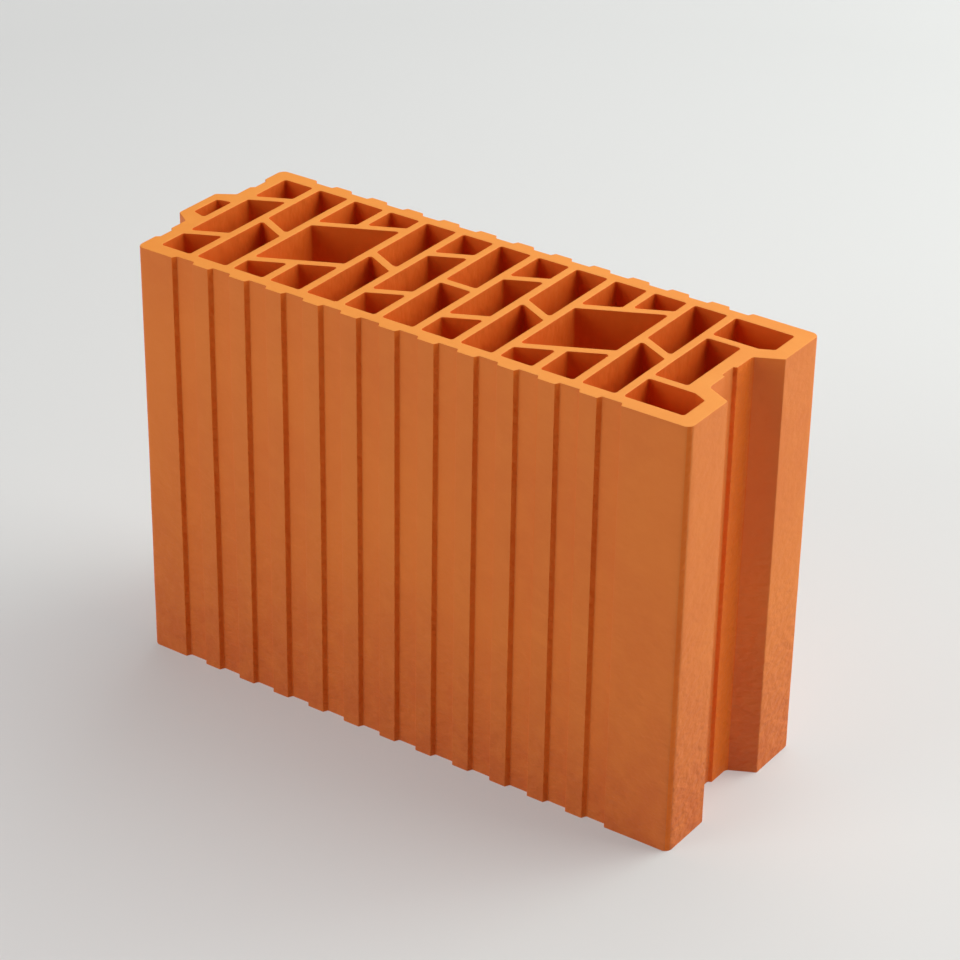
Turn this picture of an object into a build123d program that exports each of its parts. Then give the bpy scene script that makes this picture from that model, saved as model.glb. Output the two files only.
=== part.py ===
from build123d import *
import math
import os

# Vertically perforated clay block for a partition wall, fired in one piece.
# It is one extrusion: a ribbed outline with a tongue on the left end and a
# socket on the right end, pierced by a lattice of cells that run from bed
# face to bed face. Lengths in millimetres, X along the wall, Y through its
# thickness, Z up, origin in the middle of the underside.

# Driving dimensions of the block
LENGTH = 330.0
THICKNESS = 120.0
HEIGHT = 238.0
SHELL = 9.2
WEB = 4.8
COLUMNS = 13
CORNER_RADIUS = 4.5

# Cross webs lean 1 in 2, and pairs of them stand this far either side of the mid-plane
WEB_LEAN = 0.5
PAIR_OFFSET = 26.4
CELL_RADIUS = 1.5

# Tongue on the left end, with its own cavity
TONGUE_LENGTH = 9.4
TONGUE_ROOT_WIDTH = 42.0
TONGUE_FACE_WIDTH = 29.6
TONGUE_WALL = 5.6
TONGUE_CELL_ROOT_WIDTH = 23.0
TONGUE_CELL_FACE_WIDTH = 18.4
TONGUE_RADIUS = 2.0

# Socket on the right end, which takes the tongue of the next block
SOCKET_DEPTH = 14.2
SOCKET_MOUTH_WIDTH = 53.0
SOCKET_FLOOR_WIDTH = 38.8
SOCKET_FLOOR_RADIUS = 3.0
SOCKET_MOUTH_RADIUS = 1.2

# Key grooves that hold plaster and mortar: in the long faces, the left end and the socket
FACE_GROOVE = dict(mouth=13.4, floor=10.8, depth=2.7)
END_GROOVE = dict(mouth=12.6, floor=9.0, depth=2.0)
SOCKET_GROOVE = dict(mouth=11.4, floor=9.6, depth=1.9)
END_GROOVE_OFFSET = 38.6
GROOVE_RADIUS = 0.6

# The corner of the two last cells that is cut off beside the socket
SOCKET_CELL_CUT = 7.2

# Positions that follow from them
BODY_LEFT = TONGUE_LENGTH - (LENGTH + TONGUE_LENGTH) / 2
BODY_RIGHT = BODY_LEFT + LENGTH
FACE_Y = THICKNESS / 2
INNER_Y = FACE_Y - SHELL
SOCKET_FLOOR_X = BODY_RIGHT - SOCKET_DEPTH
CELL_WIDTH = (LENGTH - SOCKET_DEPTH - 2 * SHELL - (COLUMNS - 1) * WEB) / COLUMNS
PITCH = CELL_WIDTH + WEB
HALF_WEB = WEB / 2


def column_left(column):
    """X of the left wall of a column of cells, counted from the tongue."""
    return BODY_LEFT + SHELL + column * PITCH


def web_centre(index):
    """X of the middle of the long web to the right of a column."""
    return column_left(index) + CELL_WIDTH + HALF_WEB


def trapezoid(depth, near_width, far_width):
    """Closed four-sided face that starts on the Y axis and narrows along +X."""
    return Polygon(
        (0, -near_width / 2),
        (depth, -far_width / 2),
        (depth, far_width / 2),
        (0, near_width / 2),
        align=None,
    )


def groove(mouth, floor, depth):
    """Key groove that opens towards -X, with rounded floor corners and lips."""
    lip = GROOVE_RADIUS
    flank = (mouth - floor) / 2
    shape = Polygon(
        (-lip, -mouth / 2 - 2 * lip),
        (0, -mouth / 2 - 2 * lip),
        (0, -mouth / 2),
        (depth, -mouth / 2 + flank),
        (depth, mouth / 2 - flank),
        (0, mouth / 2),
        (0, mouth / 2 + 2 * lip),
        (-lip, mouth / 2 + 2 * lip),
        align=None,
    )
    rounded = [v for v in shape.vertices() if v.X > -lip / 2 and abs(v.Y) < mouth / 2 + lip]
    return fillet(rounded, GROOVE_RADIUS)


def corners_at(face, x, tolerance=0.01):
    """Corners of a face that lie on one X."""
    return [v for v in face.vertices() if abs(v.X - x) < tolerance]


def tongue():
    """Tongue that stands out of the left end, rounded at its tip and root."""
    overlap = SHELL / 2
    profile = trapezoid(TONGUE_LENGTH, TONGUE_ROOT_WIDTH, TONGUE_FACE_WIDTH)
    root = Pos(-overlap / 2, 0) * Rectangle(overlap, TONGUE_ROOT_WIDTH + 6 * TONGUE_RADIUS)
    face = profile + root
    tip = corners_at(face, TONGUE_LENGTH)
    inner = [v for v in corners_at(face, 0) if abs(v.Y) < TONGUE_ROOT_WIDTH / 2 + TONGUE_RADIUS]
    face = fillet(tip + inner, TONGUE_RADIUS)
    return Pos(BODY_LEFT, 0) * Rot(0, 0, 180) * face


def socket():
    """Socket in the right end, rounded at its floor and at its mouth."""
    overlap = SOCKET_DEPTH / 2
    profile = trapezoid(SOCKET_DEPTH, SOCKET_MOUTH_WIDTH, SOCKET_FLOOR_WIDTH)
    outside = Pos(-overlap / 2, 0) * Rectangle(overlap, SOCKET_MOUTH_WIDTH + 6 * SOCKET_MOUTH_RADIUS)
    face = profile + outside
    face = fillet(corners_at(face, SOCKET_DEPTH), SOCKET_FLOOR_RADIUS)
    lips = [v for v in corners_at(face, 0) if abs(v.Y) < SOCKET_MOUTH_WIDTH / 2 + SOCKET_MOUTH_RADIUS]
    face = fillet(lips, SOCKET_MOUTH_RADIUS)
    return Pos(BODY_RIGHT, 0) * Rot(0, 0, 180) * face


def outline():
    """Outer outline of the block with tongue, socket and key grooves."""
    body = Pos(BODY_LEFT + LENGTH / 2, 0) * Rectangle(LENGTH, THICKNESS)
    body = fillet(body.vertices(), CORNER_RADIUS)
    body = body + tongue() - socket()
    face_key = groove(**FACE_GROOVE)
    for index in range(COLUMNS - 1):
        body -= Pos(web_centre(index), -FACE_Y) * Rot(0, 0, 90) * face_key
        body -= Pos(web_centre(index), FACE_Y) * Rot(0, 0, -90) * face_key
    end_key = groove(**END_GROOVE)
    for side in (-1, 1):
        body -= Pos(BODY_LEFT, side * END_GROOVE_OFFSET) * end_key
    body -= Pos(SOCKET_FLOOR_X, 0) * Rot(0, 0, 180) * groove(**SOCKET_GROOVE)
    return body


def cell(*corners):
    """One cell of the lattice, its corners rounded."""
    shape = Polygon(*corners, align=None)
    return fillet(shape.vertices(), CELL_RADIUS)


def cells_between(left, right, cross_webs, group_centre=None):
    """Cells of one column, between its shells and the cross webs.

    Each cross web is (Y of its centre line at the group's centre, lean).
    """
    centre = (left + right) / 2 if group_centre is None else group_centre
    edges = [(-INNER_Y, 0.0, 0.0)]
    for middle, lean in cross_webs:
        edges.append((middle, lean, HALF_WEB * math.hypot(1, lean)))
    edges.append((INNER_Y, 0.0, 0.0))
    cells = []
    for lower, upper in zip(edges, edges[1:]):
        below = [lower[0] + lower[1] * (x - centre) + lower[2] for x in (left, right)]
        above = [upper[0] + upper[1] * (x - centre) - upper[2] for x in (left, right)]
        cells.append(cell((left, below[0]), (right, below[1]), (right, above[1]), (left, above[0])))
    return cells


def paired_column(column):
    """Three cells between two parallel leaning cross webs."""
    left = column_left(column)
    pair = [(-PAIR_OFFSET, WEB_LEAN), (PAIR_OFFSET, WEB_LEAN)]
    return cells_between(left, left + CELL_WIDTH, pair)


def single_column(column, lean):
    """Two cells either side of one cross web on the mid-plane."""
    left = column_left(column)
    return cells_between(left, left + CELL_WIDTH, [(0.0, lean)])


def grip_columns(column):
    """Two columns joined by a grip hole, with a small pair of cells on each long face."""
    left = column_left(column)
    right = left + CELL_WIDTH + PITCH
    centre = (left + right) / 2
    pair = [(-PAIR_OFFSET, WEB_LEAN), (PAIR_OFFSET, WEB_LEAN)]
    grip = cells_between(left, right, pair)[1]
    small = []
    for start in (left, left + PITCH):
        front, _, back = cells_between(start, start + CELL_WIDTH, pair, centre)
        small += [front, back]
    return [grip] + small


def socket_column(column):
    """Last column: a cell behind the socket floor and two wide ones beside the socket."""
    left = column_left(column)
    middle = PAIR_OFFSET - HALF_WEB
    near = PAIR_OFFSET + HALF_WEB
    right = BODY_RIGHT - SHELL
    behind_socket = cell(
        (left, -middle),
        (left + CELL_WIDTH, -middle),
        (left + CELL_WIDTH, middle),
        (left, middle),
    )
    back = cell(
        (left, near),
        (right - SOCKET_CELL_CUT, near),
        (right, near + WEB_LEAN * SOCKET_CELL_CUT),
        (right, INNER_Y),
        (left, INNER_Y),
    )
    return [behind_socket, back, mirror(back, about=Plane.XZ)]


def tongue_cell():
    """Small cavity in the root of the tongue."""
    right = BODY_LEFT + SHELL - WEB
    left = BODY_LEFT - TONGUE_LENGTH + TONGUE_WALL
    return cell(
        (left, -TONGUE_CELL_FACE_WIDTH / 2),
        (right, -TONGUE_CELL_ROOT_WIDTH / 2),
        (right, TONGUE_CELL_ROOT_WIDTH / 2),
        (left, TONGUE_CELL_FACE_WIDTH / 2),
    )


def lattice():
    """All the cells, column by column from the tongue to the socket."""
    cells = [tongue_cell()]
    for column in (0, 5, 7):
        cells += paired_column(column)
    for column in (1, 4, 8, 11):
        cells += single_column(column, -WEB_LEAN)
    cells += single_column(6, 0.0)
    for column in (2, 9):
        cells += grip_columns(column)
    cells += socket_column(COLUMNS - 1)
    return cells


def brick_body():
    """The fired block: its section drawn up to its full height."""
    section = outline()
    for hole in lattice():
        section -= hole
    return extrude(section, HEIGHT)


os.makedirs("parts", exist_ok=True)
export_step(brick_body(), "parts/brick_body.step")
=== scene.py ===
"""Perforated clay block in a plain studio.

The fired body gets its softened arrises, its slightly uneven drawn and wire-cut faces and its
terracotta finish, and stands on a pale floor under soft light.
"""

import logging
import math
from dataclasses import dataclass, field
from enum import Enum

import bmesh
import bpy
from mathutils import Matrix, Vector, noise


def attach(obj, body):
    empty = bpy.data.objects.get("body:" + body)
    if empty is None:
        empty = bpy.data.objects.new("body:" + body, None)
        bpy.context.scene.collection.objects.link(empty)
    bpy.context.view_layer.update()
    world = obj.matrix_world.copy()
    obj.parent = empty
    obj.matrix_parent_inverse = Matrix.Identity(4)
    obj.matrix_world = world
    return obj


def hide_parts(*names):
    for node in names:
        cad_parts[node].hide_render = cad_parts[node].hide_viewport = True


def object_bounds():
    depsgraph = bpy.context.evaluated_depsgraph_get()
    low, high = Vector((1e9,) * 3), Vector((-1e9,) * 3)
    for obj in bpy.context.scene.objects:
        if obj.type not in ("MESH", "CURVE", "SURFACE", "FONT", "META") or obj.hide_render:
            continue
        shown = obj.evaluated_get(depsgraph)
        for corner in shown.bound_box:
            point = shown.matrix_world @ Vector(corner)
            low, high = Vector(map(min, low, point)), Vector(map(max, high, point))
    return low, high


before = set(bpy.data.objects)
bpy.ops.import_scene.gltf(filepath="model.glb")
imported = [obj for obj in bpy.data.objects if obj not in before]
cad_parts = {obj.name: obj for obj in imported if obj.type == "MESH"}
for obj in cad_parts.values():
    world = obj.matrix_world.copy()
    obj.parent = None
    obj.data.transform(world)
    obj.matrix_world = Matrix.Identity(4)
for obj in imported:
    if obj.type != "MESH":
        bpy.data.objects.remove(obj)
CAD_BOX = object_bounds()

MM = 0.001
BLOCK_NODE = "brick_body"

# A face whose normal has more than this share along an axis counts as facing along it
FACING_SHARE = 0.5

# The sRGB curve, which is straight up to its toe and a power above it
CHANNEL_TOP = 255
TOE_END = 0.04045
TOE_SLOPE = 12.92
CURVE_OFFSET = 0.055
CURVE_POWER = 2.4

# Numbers of the colour sockets on the mix node
MIX_SHARE = 0
MIX_FIRST = 6
MIX_SECOND = 7
MIX_RESULT = 2

log = logging.getLogger("clay_block")


class Skin(Enum):
    """How a face of the block was made and where it lies, which is also its material slot on the mesh.
    The cell and recess slots carry painted shade, and the cut slot partly a painted highlight.
    """

    FACE = 0
    CELL = 1
    CUT = 2
    RECESS = 3


def linear_colour(hex_code: str) -> tuple[float, float, float, float]:
    """Turns an sRGB hex colour to linear light.

    Args:
        hex_code: Six hexadecimal digits, with or without a leading hash.

    Returns:
        Red, green, blue and an alpha of one.
    """
    digits = hex_code.lstrip("#")
    channels = []
    for start in (0, 2, 4):
        value = int(digits[start : start + 2], 16) / CHANNEL_TOP
        curved = ((value + CURVE_OFFSET) / (1 + CURVE_OFFSET)) ** CURVE_POWER
        channels.append(value / TOE_SLOPE if value <= TOE_END else curved)
    return (channels[0], channels[1], channels[2], 1.0)


def add_node(
    tree: bpy.types.NodeTree, kind: str, settings: dict | None = None, links: dict | None = None
) -> bpy.types.Node:
    """Adds a shader node, sets it and links its inputs.

    Args:
        tree: Node tree of the material or world.
        kind: Blender's name for the node type.
        settings: Values by the name of a property, or by the name or number of an input.
        links: Output sockets by the name or number of the input that each one feeds.

    Returns:
        The new node.
    """
    node = tree.nodes.new(kind)
    for name, value in (settings or {}).items():
        if isinstance(name, str) and name not in node.inputs:
            setattr(node, name, value)
        else:
            node.inputs[name].default_value = value
    for name, socket in (links or {}).items():
        tree.links.new(socket, node.inputs[name])
    return node


@dataclass(frozen=True)
class FiredClay:
    """Terracotta: stiff clay pressed through a die, cut to height by a wire, dried and fired.

    The skin that slid through the die is close and faintly polished, so it spreads light softly but
    pales a little where it is seen at a slant. Its colour is very even. Its relief is fine: drag
    lines along the press direction, and small wrinkles that grow towards the foot of the block.
    Sizes, heights and depths are in millimetres, and each seed moves one pattern away from the others.
    """

    name: str
    body_colour: str = "#E77B21"
    burnt_colour: str = "#E2741E"
    pale_colour: str = "#EB8128"
    roughness: float = 0.62
    refractive_index: float = 1.5
    specular_level: float = 0.5
    # Painted shade: the colour darkens towards the foot of the block, standing in for the shade near the
    # floor
    foot_shade_colour: str = "#D26118"
    foot_shade_share: float = 0.85
    foot_shade_height: float = 100.0
    cloud_size: float = 80.0
    cloud_seed: float = 3.1
    cloud_range: tuple[float, float] = (0.35, 0.65)
    mottle_size: float = 11.0
    mottle_seed: float = 7.7
    mottle_range: tuple[float, float] = (0.4, 0.7)
    mottle_share: float = 0.35
    mottle_detail: float = 3.0
    drag_spacing: tuple[float, float, float] = (1.6, 1.6, 80.0)
    drag_seed: float = 5.9
    drag_depth: float = 0.03
    wrinkle_size: tuple[float, float, float] = (5.0, 5.0, 3.4)
    wrinkle_seed: float = 1.3
    wrinkle_depth: float = 1.5
    wrinkle_least: float = 0.25
    smooth_above: float = 150.0
    grain_size: float = 1.2
    grain_seed: float = 11.3
    grain_depth: float = 0.02
    plain_detail: float = 2.0
    octave_share: float = 0.5

    def pattern(
        self, tree: bpy.types.NodeTree, size: tuple[float, float, float], detail: float, seed: float
    ) -> bpy.types.Node:
        """Adds a noise whose patches have a real size.

        Args:
            tree: The material's node tree.
            size: Patch size along each axis, in millimetres.
            detail: Octaves of finer noise within it.
            seed: Distance by which the pattern is moved, so that no two are alike.

        Returns:
            The noise node.
        """
        place = add_node(tree, "ShaderNodeTexCoord")
        mapped = add_node(
            tree,
            "ShaderNodeMapping",
            {"Location": (seed, seed, seed), "Scale": [1 / (length * MM) for length in size]},
            {"Vector": place.outputs["Object"]},
        )
        return add_node(
            tree,
            "ShaderNodeTexNoise",
            {"Scale": 1.0, "Detail": detail, "Roughness": self.octave_share},
            {"Vector": mapped.outputs["Vector"]},
        )

    def stretch(
        self,
        tree: bpy.types.NodeTree,
        source: bpy.types.NodeSocket,
        low: float,
        high: float,
        least: float = 0.0,
    ) -> bpy.types.NodeSocket:
        """Stretches part of a value's range to run up to 1.

        Args:
            tree: The material's node tree.
            source: The value.
            low: Value that becomes least.
            high: Value that becomes 1.
            least: Lowest result.

        Returns:
            The stretched value.
        """
        node = add_node(
            tree,
            "ShaderNodeMapRange",
            {"From Min": low, "From Max": high, "To Min": least, "To Max": 1.0},
            {"Value": source},
        )
        return node.outputs["Result"]

    def low_down(self, tree: bpy.types.NodeTree, top: float, least: float) -> bpy.types.NodeSocket:
        """Adds a value that grows towards the foot of the block, where it is 1.

        Args:
            tree: The material's node tree.
            top: Height in millimetres at and above which it is least.
            least: Lowest value.

        Returns:
            The value.
        """
        place = add_node(tree, "ShaderNodeTexCoord")
        height = add_node(tree, "ShaderNodeSeparateXYZ", {}, {0: place.outputs["Object"]})
        return self.stretch(tree, height.outputs["Z"], top * MM, 0.0, least)

    def colour(self, tree: bpy.types.NodeTree) -> bpy.types.NodeSocket:
        """Adds the body colour, darker at the foot as painted shade, with clouds of firing and small
        pale flecks.

        Args:
            tree: The material's node tree.

        Returns:
            The colour.
        """
        clouds = self.pattern(tree, (self.cloud_size,) * 3, self.plain_detail, self.cloud_seed)
        mottle = self.pattern(tree, (self.mottle_size,) * 3, self.mottle_detail, self.mottle_seed)
        burnt = add_node(
            tree,
            "ShaderNodeMix",
            {
                "data_type": "RGBA",
                MIX_FIRST: linear_colour(self.body_colour),
                MIX_SECOND: linear_colour(self.burnt_colour),
            },
            {MIX_SHARE: self.stretch(tree, clouds.outputs["Fac"], *self.cloud_range)},
        )
        # Painted shade: the darker foot colour is mixed in more towards the foot
        foot = add_node(
            tree,
            "ShaderNodeMath",
            {"operation": "MULTIPLY", 1: self.foot_shade_share},
            {0: self.low_down(tree, self.foot_shade_height, 0.0)},
        )
        foot_shaded = add_node(
            tree,
            "ShaderNodeMix",
            {"data_type": "RGBA", MIX_SECOND: linear_colour(self.foot_shade_colour)},
            {MIX_SHARE: foot.outputs["Value"], MIX_FIRST: burnt.outputs[MIX_RESULT]},
        )
        share = add_node(
            tree,
            "ShaderNodeMath",
            {"operation": "MULTIPLY", 1: self.mottle_share},
            {0: self.stretch(tree, mottle.outputs["Fac"], *self.mottle_range)},
        )
        flecked = add_node(
            tree,
            "ShaderNodeMix",
            {"data_type": "RGBA", MIX_SECOND: linear_colour(self.pale_colour)},
            {MIX_SHARE: share.outputs["Value"], MIX_FIRST: foot_shaded.outputs[MIX_RESULT]},
        )
        return flecked.outputs[MIX_RESULT]

    def relief(self, tree: bpy.types.NodeTree) -> bpy.types.NodeSocket:
        """Adds the drag lines, wrinkles and grain, from the coarsest to the finest.

        Args:
            tree: The material's node tree.

        Returns:
            The bumped normal.
        """
        growth = self.low_down(tree, self.smooth_above, self.wrinkle_least)
        wrinkles = self.pattern(tree, self.wrinkle_size, self.plain_detail, self.wrinkle_seed)
        grown = add_node(
            tree,
            "ShaderNodeMath",
            {"operation": "MULTIPLY"},
            {0: wrinkles.outputs["Fac"], 1: growth},
        )
        drag = self.pattern(tree, self.drag_spacing, self.plain_detail, self.drag_seed)
        grain = self.pattern(tree, (self.grain_size,) * 3, self.plain_detail, self.grain_seed)
        normal = None
        layers = (
            (grown.outputs["Value"], self.wrinkle_depth),
            (drag.outputs["Fac"], self.drag_depth),
            (grain.outputs["Fac"], self.grain_depth),
        )
        for source, depth in layers:
            links = {"Height": source}
            if normal is not None:
                links["Normal"] = normal
            bump = add_node(tree, "ShaderNodeBump", {"Strength": 1.0, "Distance": depth * MM}, links)
            normal = bump.outputs["Normal"]
        return normal

    def material(self) -> bpy.types.Material:
        """Builds the finish's node material.

        Returns:
            The material, ready for a slot.
        """
        made = bpy.data.materials.new(self.name)
        made.use_nodes = True
        tree = made.node_tree
        tree.nodes.clear()
        shader = add_node(
            tree,
            "ShaderNodeBsdfPrincipled",
            {
                "Roughness": self.roughness,
                "IOR": self.refractive_index,
                "Specular IOR Level": self.specular_level,
            },
            {"Base Color": self.colour(tree), "Normal": self.relief(tree)},
        )
        add_node(tree, "ShaderNodeOutputMaterial", {}, {"Surface": shader.outputs["BSDF"]})
        return made


@dataclass(frozen=True)
class LitSheetFloor:
    """Translucent white sheet lit from below, which gives a soft, almost white ground.

    It is lit more strongly far from the block, where the lamps reach less, so the distance is pale too.
    The radii are in metres.
    """

    name: str = "pale_floor_sheet"
    colour: str = "#B4B4B4"
    roughness: float = 0.9
    near_glow: float = 0.27
    far_glow: float = 0.75
    near_radius: float = 1.0
    far_radius: float = 4.0

    def material(self) -> bpy.types.Material:
        """Builds the floor's material.

        Returns:
            The material, ready for a slot.
        """
        made = bpy.data.materials.new(self.name)
        made.use_nodes = True
        tree = made.node_tree
        tree.nodes.clear()
        place = add_node(tree, "ShaderNodeTexCoord")
        radius = add_node(
            tree, "ShaderNodeVectorMath", {"operation": "LENGTH"}, {0: place.outputs["Object"]}
        )
        glow = add_node(
            tree,
            "ShaderNodeMapRange",
            {
                "From Min": self.near_radius,
                "From Max": self.far_radius,
                "To Min": self.near_glow,
                "To Max": self.far_glow,
            },
            {"Value": radius.outputs["Value"]},
        )
        shader = add_node(
            tree,
            "ShaderNodeBsdfPrincipled",
            {"Base Color": linear_colour(self.colour), "Roughness": self.roughness},
            {"Emission Strength": glow.outputs["Result"]},
        )
        add_node(tree, "ShaderNodeOutputMaterial", {}, {"Surface": shader.outputs["BSDF"]})
        return made


@dataclass
class ClayBlock:
    """The one fired piece: the frame's node, given what drying, handling and fire do to its shape."""

    merge_reach: float = 0.01 * MM
    facet_turn: float = math.radians(14)
    arris: float = 0.5 * MM
    arris_steps: int = 2
    arris_roundness: float = 0.5
    cut_reach: float = 0.02 * MM
    plan_step: float = 7.0 * MM
    face_step: float = 4.0 * MM
    cell_step: float = 14.0 * MM
    wander: float = 0.35 * MM
    wander_size: float = 60.0 * MM
    wander_stretch: float = 0.35
    wander_seed: int = 7
    dent: float = 0.12 * MM
    dent_size: float = 16.0 * MM
    dent_floor: float = 0.2
    smooth_below: float = math.radians(40)
    socket_depth: float = 14.2 * MM
    socket_sides: tuple[float, float] = (4.5 * MM, 22.0 * MM)
    key_depth: float = 2.7 * MM
    finishes: dict[Skin, FiredClay] = field(
        default_factory=lambda: {
            # Slid along the steel die: close and smooth, with a soft sheen at a slant
            Skin.FACE: FiredClay("terracotta_die_skin_and_foot_shade"),
            # Drawn over the core: duller and dimpled all the way down, with a redder colour that is
            # painted shade of the cells
            Skin.CELL: FiredClay(
                "terracotta_core_skin_and_shade",
                body_colour="#EA6F1B",
                burnt_colour="#E56817",
                pale_colour="#EE7421",
                wrinkle_size=(6.0, 6.0, 9.0),
                wrinkle_depth=0.6,
                foot_shade_share=0.0,
                wrinkle_least=1.0,
                roughness=0.7,
                specular_level=0.25,
            ),
            # Sliced by the wire: flat, with fine lines along the block, and paler, partly from the cut
            # and partly as a painted highlight of the lit top
            Skin.CUT: FiredClay(
                "terracotta_wire_cut_and_highlight",
                body_colour="#F49736",
                burnt_colour="#F19130",
                pale_colour="#F79D3E",
                drag_spacing=(60.0, 1.2, 60.0),
                drag_depth=0.04,
                wrinkle_depth=0.05,
                foot_shade_share=0.0,
                wrinkle_least=1.0,
            ),
            # Groove flanks and socket floor: a deeper colour that is painted shade, dull and dimpled
            Skin.RECESS: FiredClay(
                "terracotta_recess_skin_and_shade",
                body_colour="#EC751C",
                burnt_colour="#E76E18",
                pale_colour="#F07B22",
                specular_level=0.25,
                wrinkle_size=(4.0, 4.0, 4.0),
                wrinkle_depth=1.3,
                foot_shade_share=0.0,
                wrinkle_least=1.0,
            ),
        }
    )

    def body_mesh(self) -> bmesh.types.BMesh:
        """Copies the node's mesh, joins its triangles and makes each wall one face.

        Returns:
            The joined mesh.
        """
        mesh = bmesh.new()
        mesh.from_mesh(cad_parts[BLOCK_NODE].data)
        bmesh.ops.remove_doubles(mesh, verts=mesh.verts, dist=self.merge_reach)
        bmesh.ops.dissolve_limit(mesh, angle_limit=self.facet_turn, verts=mesh.verts, edges=mesh.edges)
        return mesh

    def is_recess(self, face: bmesh.types.BMFace) -> bool:
        """Finds whether an outer face lies in a recess that gets a painted shade colour: a key groove's
        flank or the socket's floor.

        Args:
            face: The face.

        Returns:
            True for a flank on a plaster face, and for the socket's floor from its groove backwards.
        """
        high = CAD_BOX[1]
        middle = face.calc_center_median()
        flank = abs(face.normal.x) > FACING_SHARE and 0 < high.y - abs(middle.y) < self.key_depth
        depth = high.x - middle.x
        in_socket = self.socket_depth / 2 < depth < 2 * self.socket_depth
        return flank or (in_socket and self.socket_sides[0] < middle.y < self.socket_sides[1])

    def sort_skins(self, mesh: bmesh.types.BMesh) -> None:
        """Puts each face in the slot of its skin: cut bed faces, cell walls, outer faces and recesses.

        Args:
            mesh: The block's mesh, before it is divided.
        """
        mesh.normal_update()
        for face in mesh.faces:
            face.material_index = (Skin.CUT if abs(face.normal.z) > FACING_SHARE else Skin.CELL).value
        low = CAD_BOX[0]
        found = [f for f in mesh.faces if max(v.co.x for v in f.verts) < low.x + self.arris]
        while found:
            face = found.pop()
            if face.material_index == Skin.CELL.value:
                face.material_index = (Skin.RECESS if self.is_recess(face) else Skin.FACE).value
                found += [near for edge in face.edges for near in edge.link_faces]

    def soften_arrises(self, mesh: bmesh.types.BMesh) -> None:
        """Rounds every edge between a bed face and a wall, as the wire and the handling leave it.

        Args:
            mesh: The block's mesh.
        """
        bed_edges = [
            edge
            for edge in mesh.edges
            if sum(face.material_index == Skin.CUT.value for face in edge.link_faces) == 1
        ]
        bmesh.ops.bevel(
            mesh,
            geom=bed_edges,
            offset=self.arris,
            offset_type="OFFSET",
            segments=self.arris_steps,
            profile=self.arris_roundness,
            affect="EDGES",
            material=-1,
            clamp_overlap=False,
        )

    def slice(self, mesh: bmesh.types.BMesh, axis: int, step: float, skins: tuple[Skin, ...]) -> None:
        """Cuts faces of some skins into equal steps along one axis.

        Args:
            mesh: The block's mesh.
            axis: 0, 1 or 2 for X, Y or Z.
            step: About how far apart the cuts are.
            skins: Which faces are cut.
        """
        low, high = CAD_BOX
        normal = Vector((axis == 0, axis == 1, axis == 2))
        slots = {skin.value for skin in skins}
        count = round((high[axis] - low[axis]) / step)
        for index in range(1, count):
            faces = [face for face in mesh.faces if face.material_index in slots]
            around = {part for face in faces for part in (*face.edges, *face.verts)}
            bmesh.ops.bisect_plane(
                mesh,
                geom=faces + list(around),
                dist=self.cut_reach,
                plane_co=normal * (low[axis] + (high[axis] - low[axis]) * index / count),
                plane_no=normal,
            )

    def divide(self, mesh: bmesh.types.BMesh) -> None:
        """Cuts the mesh into a grid, finest on the outer faces, so that its walls can be uneven.

        Args:
            mesh: The block's mesh.
        """
        self.slice(mesh, 0, self.plan_step, tuple(Skin))
        self.slice(mesh, 1, self.plan_step, tuple(Skin))
        self.slice(mesh, 2, self.cell_step, (Skin.CELL,))
        self.slice(mesh, 2, self.face_step, (Skin.FACE, Skin.RECESS))

    def make_uneven(self, mesh: bmesh.types.BMesh) -> None:
        """Lets the walls stray sideways and dents the outer faces, more towards the foot.

        Args:
            mesh: The block's mesh.
        """
        low, high = CAD_BOX
        mesh.normal_update()
        drawn = (Skin.FACE.value, Skin.RECESS.value)
        outer = {vert for face in mesh.faces if face.material_index in drawn for vert in face.verts}
        # The vector noise takes its offsets from the clock unless it is given a seed
        noise.seed_set(self.wander_seed)
        for vert in mesh.verts:
            place = vert.co / self.wander_size
            place.z *= self.wander_stretch
            shift = noise.noise_vector(place) * self.wander
            if vert in outer:
                foot = 1 - vert.co.z / high.z
                depth = self.dent * (self.dent_floor + (1 - self.dent_floor) * foot)
                shift -= vert.normal * depth * (1 + noise.noise(vert.co / self.dent_size))
            moved = (vert.co.x + shift.x, vert.co.y + shift.y, vert.co.z)
            vert.co = [min(max(moved[axis], low[axis]), high[axis]) for axis in range(3)]

    def shade(self, mesh: bmesh.types.BMesh) -> None:
        """Shades the surface smooth, and keeps only the real corners sharp.

        Args:
            mesh: The block's mesh.
        """
        for face in mesh.faces:
            face.smooth = True
        for edge in mesh.edges:
            edge.smooth = edge.calc_face_angle(0.0) < self.smooth_below

    def build(self) -> bpy.types.Object:
        """Makes the block's piece, dresses it and sets it in the frame.

        Returns:
            The piece.
        """
        mesh = self.body_mesh()
        self.sort_skins(mesh)
        self.soften_arrises(mesh)
        self.divide(mesh)
        self.make_uneven(mesh)
        self.shade(mesh)
        data = bpy.data.meshes.new("fired_block")
        mesh.to_mesh(data)
        mesh.free()
        piece = bpy.data.objects.new("fired_block", data)
        bpy.context.scene.collection.objects.link(piece)
        even_shading = piece.modifiers.new("even_shading", "WEIGHTED_NORMAL")
        even_shading.keep_sharp = True
        for skin in Skin:
            data.materials.append(self.finishes[skin].material())
        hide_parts(BLOCK_NODE)
        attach(piece, "root")
        data.calc_loop_triangles()
        log.info("%s: %d triangles", piece.name, len(data.loop_triangles))
        return piece


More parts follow.
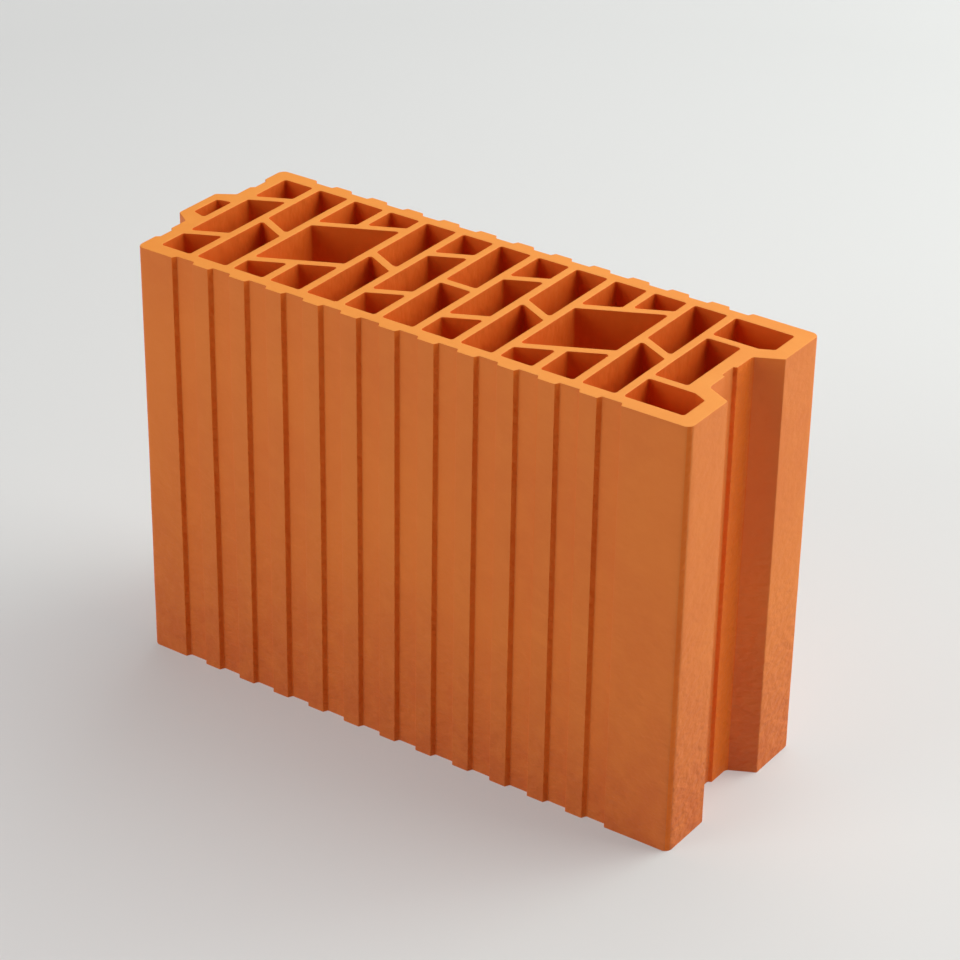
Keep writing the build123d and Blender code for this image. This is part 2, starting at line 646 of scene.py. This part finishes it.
@dataclass(frozen=True)
class SoftLamp:
    """A square area lamp that faces the middle of the block.

    Heading and height are in degrees, distance and size in metres and power in watts.
    """

    name: str
    heading: float
    height: float
    distance: float
    size: float
    power: float
    colour: str = "#FFFFFF"

    def build(self, aim: Vector) -> None:
        """Hangs the lamp.

        Args:
            aim: The point that it faces.
        """
        turn = math.radians(self.heading)
        lift = math.radians(self.height)
        away = Vector((math.cos(turn) * math.cos(lift), math.sin(turn) * math.cos(lift), math.sin(lift)))
        data = bpy.data.lights.new(self.name, "AREA")
        data.shape = "SQUARE"
        data.size = self.size
        data.energy = self.power
        data.color = linear_colour(self.colour)[:3]
        lamp = bpy.data.objects.new(self.name, data)
        lamp.location = aim + away * self.distance
        lamp.rotation_euler = away.to_track_quat("Z", "Y").to_euler()
        bpy.context.scene.collection.objects.link(lamp)


@dataclass
class Studio:
    """Floor, soft lamps, surrounding light and the camera at the photograph's viewing angle.

    The camera's angles are in degrees, its film is in millimetres and the floor's radius is in metres.
    """

    floor_radius: float = 8.0
    floor_sides: int = 96
    surround_colour: str = "#E8E8E8"
    surround_strength: float = 0.04
    floor: LitSheetFloor = field(default_factory=LitSheetFloor)
    camera_place: Vector = field(default_factory=lambda: Vector((797.7, -1141.0, 906.3)) * MM)
    camera_heading: float = 34.528
    camera_dip: float = 29.205
    camera_roll: float = 0.916
    focal_pixels: float = 3104.8
    frame_pixels: float = 960.0
    film_width: float = 36.0
    lamps: tuple[SoftLamp, ...] = (
        SoftLamp("top_lamp", heading=80.0, height=60.0, distance=2.2, size=2.6, power=47.0),
        SoftLamp(
            "right_low_lamp",
            heading=60.0,
            height=14.0,
            distance=2.2,
            size=1.0,
            power=23.0,
            colour="#EDFFF3",
        ),
        SoftLamp(
            "right_lamp",
            heading=30.0,
            height=38.0,
            distance=2.2,
            size=1.2,
            power=16.0,
            colour="#FFFCF6",
        ),
        SoftLamp(
            "left_fill",
            heading=-118.0,
            height=20.0,
            distance=2.6,
            size=1.4,
            power=27.0,
            colour="#FFF9F2",
        ),
    )

    def lay_floor(self) -> None:
        """Makes the floor and keeps it out of the object."""
        mesh = bmesh.new()
        bmesh.ops.create_circle(
            mesh, cap_ends=True, segments=self.floor_sides, radius=self.floor_radius
        )
        data = bpy.data.meshes.new("studio_floor")
        mesh.to_mesh(data)
        mesh.free()
        floor = bpy.data.objects.new("studio_floor", data)
        floor.location.z = CAD_BOX[0].z
        data.materials.append(self.floor.material())
        bpy.context.scene.collection.objects.link(floor)

    def light(self) -> None:
        """Sets the surrounding light and hangs the lamps."""
        world = bpy.data.worlds.new("soft_surround")
        world.use_nodes = True
        background = world.node_tree.nodes["Background"]
        background.inputs["Color"].default_value = linear_colour(self.surround_colour)
        background.inputs["Strength"].default_value = self.surround_strength
        bpy.context.scene.world = world
        middle = (CAD_BOX[0] + CAD_BOX[1]) / 2
        for lamp in self.lamps:
            lamp.build(middle)

    def set_camera(self) -> None:
        """Places the camera."""
        data = bpy.data.cameras.new("studio_camera")
        data.sensor_width = self.film_width
        data.lens = self.focal_pixels / self.frame_pixels * self.film_width
        camera = bpy.data.objects.new("studio_camera", data)
        camera.matrix_world = (
            Matrix.Translation(self.camera_place)
            @ Matrix.Rotation(math.radians(self.camera_heading), 4, "Z")
            @ Matrix.Rotation(math.radians(90 - self.camera_dip), 4, "X")
            @ Matrix.Rotation(math.radians(self.camera_roll), 4, "Z")
        )
        bpy.context.scene.collection.objects.link(camera)
        bpy.context.scene.camera = camera

    def build(self) -> None:
        """Sets up the whole studio."""
        self.set_camera()
        self.lay_floor()
        self.light()
        bpy.context.scene.view_settings.view_transform = "Standard"


def main() -> None:
    """Builds the studio and the block, and reports each."""
    logging.basicConfig(level=logging.INFO, format="%(name)s %(message)s")
    Studio().build()
    log.info("studio: camera, floor and lamps are set")
    ClayBlock().build()


if __name__ == "__main__":
    main()
